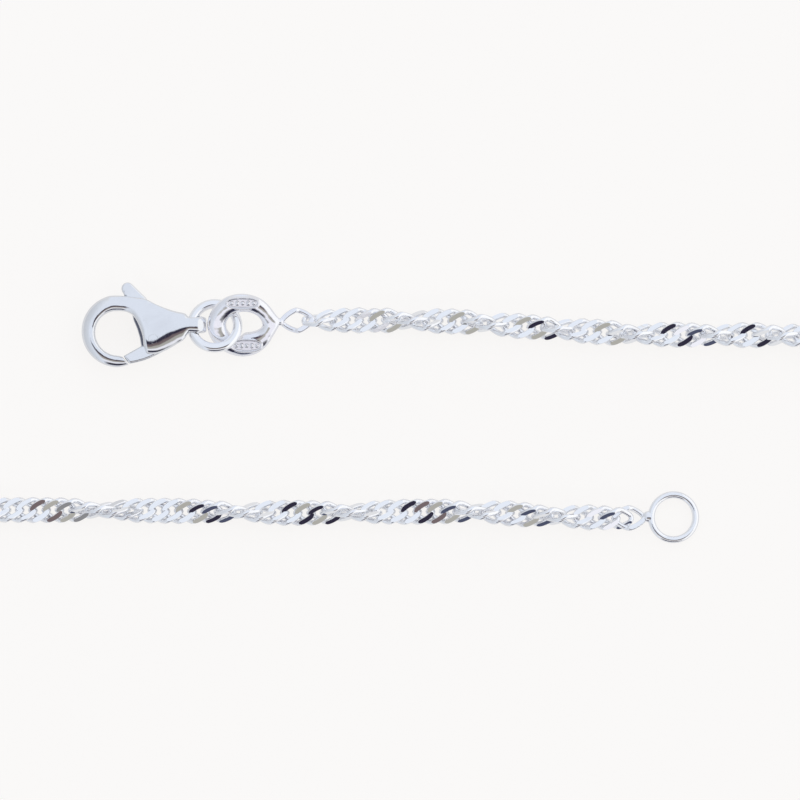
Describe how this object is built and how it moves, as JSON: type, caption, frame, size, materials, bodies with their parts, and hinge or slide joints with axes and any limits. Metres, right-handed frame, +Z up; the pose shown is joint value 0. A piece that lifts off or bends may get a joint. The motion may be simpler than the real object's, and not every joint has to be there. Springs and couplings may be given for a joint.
{
  "type": "singapore chain necklace",
  "caption": "Twisted double curb neck chain lying unclasped, with a lobster claw clasp, a jump ring, an oval tag and an end ring.",
  "frame": {"origin": "middle of the whole outline, on the surface that the necklace lies on", "axes": "+X along the strands, from the clasp towards the right-hand bend, +Y from the return run to the clasp's strand, +Z up from the surface"},
  "size_m": [0.167, 0.0751, 0.0025],
  "materials": {
    "cast_silver": "polished cast sterling silver",
    "ring_silver": "polished silver wire",
    "tag_silver": "polished stamped silver with two finely matted flats",
    "chain_silver": "bright silver wire with flat mirror cuts on both faces"
  },
  "bodies": {
    "necklace": {"clasp_body": "cast_silver", "clasp_pin": "cast_silver", "jump_ring": "ring_silver", "end_tag": "tag_silver", "chain": "chain_silver", "end_ring": "ring_silver"},
    "lever": {"clasp_lever": "cast_silver"}
  },
  "joints": [
    {"name": "lever_pivot", "type": "hinge", "parent": "necklace", "child": "lever", "pos_m": [-0.01896, 0.03317, 0.00124], "axis": [0, 0, -1], "range_deg": [0, 24], "stiffness_Nm_per_rad": 0.0005}
  ]
}
